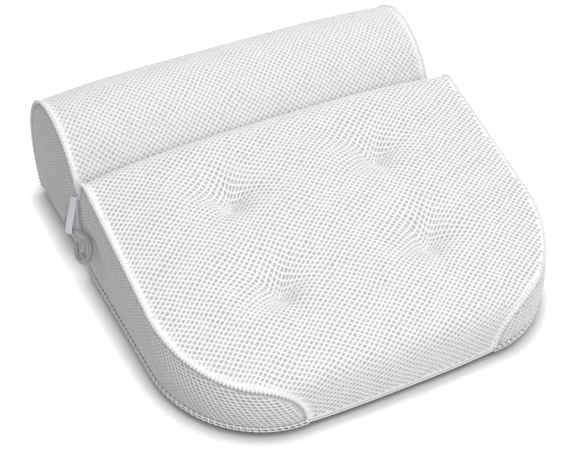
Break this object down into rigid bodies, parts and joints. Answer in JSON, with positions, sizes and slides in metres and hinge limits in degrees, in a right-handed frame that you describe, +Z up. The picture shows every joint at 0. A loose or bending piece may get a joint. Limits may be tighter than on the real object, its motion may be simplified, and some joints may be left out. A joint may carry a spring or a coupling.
{
  "type": "bath pillow",
  "caption": "Padded air-mesh bath pillow: a tufted wedge for the shoulders and a fold-over neck roll, held by suction cups, with a ribbon and hook for drying.",
  "frame": {"origin": "middle of the pillow across and along, in the plane of the suction cups' rims, which is the surface the pillow is pressed on", "axes": "+X across the pillow to its right, +Y from the thin front edge towards the neck roll, +Z up out of the surface"},
  "size_m": [0.3392, 0.3529, 0.1209],
  "materials": {
    "air_mesh": "white open-knit spacer mesh, matte",
    "base_cloth": "white plain-woven backing cloth, matte",
    "foam": "white fibre and foam filling, hidden",
    "seam_tape": "white overlocked thread and binding",
    "satin_ribbon": "white satin ribbon, silky",
    "clear_vinyl": "clear soft vinyl, glossy",
    "white_plastic": "white moulded plastic, satin",
    "grey_plastic": "grey translucent moulded plastic, glossy"
  },
  "bodies": {
    "shoulder_pad": {"pad_top_cover": "air_mesh", "pad_foam_core": "foam", "pad_base_panel": "base_cloth", "pad_gusset_left": "air_mesh", "pad_gusset_right": "air_mesh", "pad_welt_left": "seam_tape", "pad_welt_right": "seam_tape", "tuft_tie_rear_left": "seam_tape", "tuft_tie_rear_right": "seam_tape", "tuft_tie_front_left": "seam_tape", "tuft_tie_front_right": "seam_tape", "fold_web": "base_cloth", "eyelet_front_left": "white_plastic", "eyelet_front_right": "white_plastic", "eyelet_rear_left": "white_plastic", "eyelet_rear_right": "white_plastic"},
    "neck_roll": {"roll_top_cover": "air_mesh", "roll_fibre_core": "foam", "roll_base_panel": "base_cloth", "roll_end_left": "air_mesh", "roll_end_right": "air_mesh", "roll_welt_left": "seam_tape", "roll_welt_right": "seam_tape", "eyelet_roll_left": "white_plastic", "eyelet_roll_right": "white_plastic"},
    "cup_front_left": {"suction_cup_front_left": "clear_vinyl"},
    "cup_front_right": {"suction_cup_front_right": "clear_vinyl"},
    "cup_rear_left": {"suction_cup_rear_left": "clear_vinyl"},
    "cup_rear_right": {"suction_cup_rear_right": "clear_vinyl"},
    "cup_roll_left": {"suction_cup_roll_left": "clear_vinyl"},
    "cup_roll_right": {"suction_cup_roll_right": "clear_vinyl"},
    "ribbon": {"hang_loop": "satin_ribbon"},
    "hook": {"hang_hook": "grey_plastic"}
  },
  "joints": [
    {"name": "neck_fold", "type": "hinge", "parent": "shoulder_pad", "child": "neck_roll", "pos_m": [0, 0.0495, 0.0069], "axis": [1, 0, 0], "range_deg": [-110, 0]},
    {"name": "cup_turn_front_left", "type": "hinge", "parent": "shoulder_pad", "child": "cup_front_left", "pos_m": [-0.095, -0.1055, 0], "axis": [0, 0, 1], "continuous": true},
    {"name": "cup_turn_front_right", "type": "hinge", "parent": "shoulder_pad", "child": "cup_front_right", "pos_m": [0.095, -0.1055, 0], "axis": [0, 0, 1], "continuous": true},
    {"name": "cup_turn_rear_left", "type": "hinge", "parent": "shoulder_pad", "child": "cup_rear_left", "pos_m": [-0.095, -0.0055, 0], "axis": [0, 0, 1], "continuous": true},
    {"name": "cup_turn_rear_right", "type": "hinge", "parent": "shoulder_pad", "child": "cup_rear_right", "pos_m": [0.095, -0.0055, 0], "axis": [0, 0, 1], "continuous": true},
    {"name": "cup_turn_roll_left", "type": "hinge", "parent": "neck_roll", "child": "cup_roll_left", "pos_m": [-0.085, 0.1125, 0], "axis": [0, 0, 1], "continuous": true},
    {"name": "cup_turn_roll_right", "type": "hinge", "parent": "neck_roll", "child": "cup_roll_right", "pos_m": [0.085, 0.1125, 0], "axis": [0, 0, 1], "continuous": true},
    {"name": "ribbon_swing", "type": "hinge", "parent": "neck_roll", "child": "ribbon", "pos_m": [-0.1613, 0.05789, 0.072], "axis": [0.3592, -0.857, 0.3696], "range_deg": [-60, 0]},
    {"name": "hook_swing", "type": "hinge", "parent": "ribbon", "child": "hook", "pos_m": [-0.17064, 0.04509, 0.05139], "axis": [0.3592, -0.857, 0.3696], "range_deg": [-50, 0]}
  ]
}
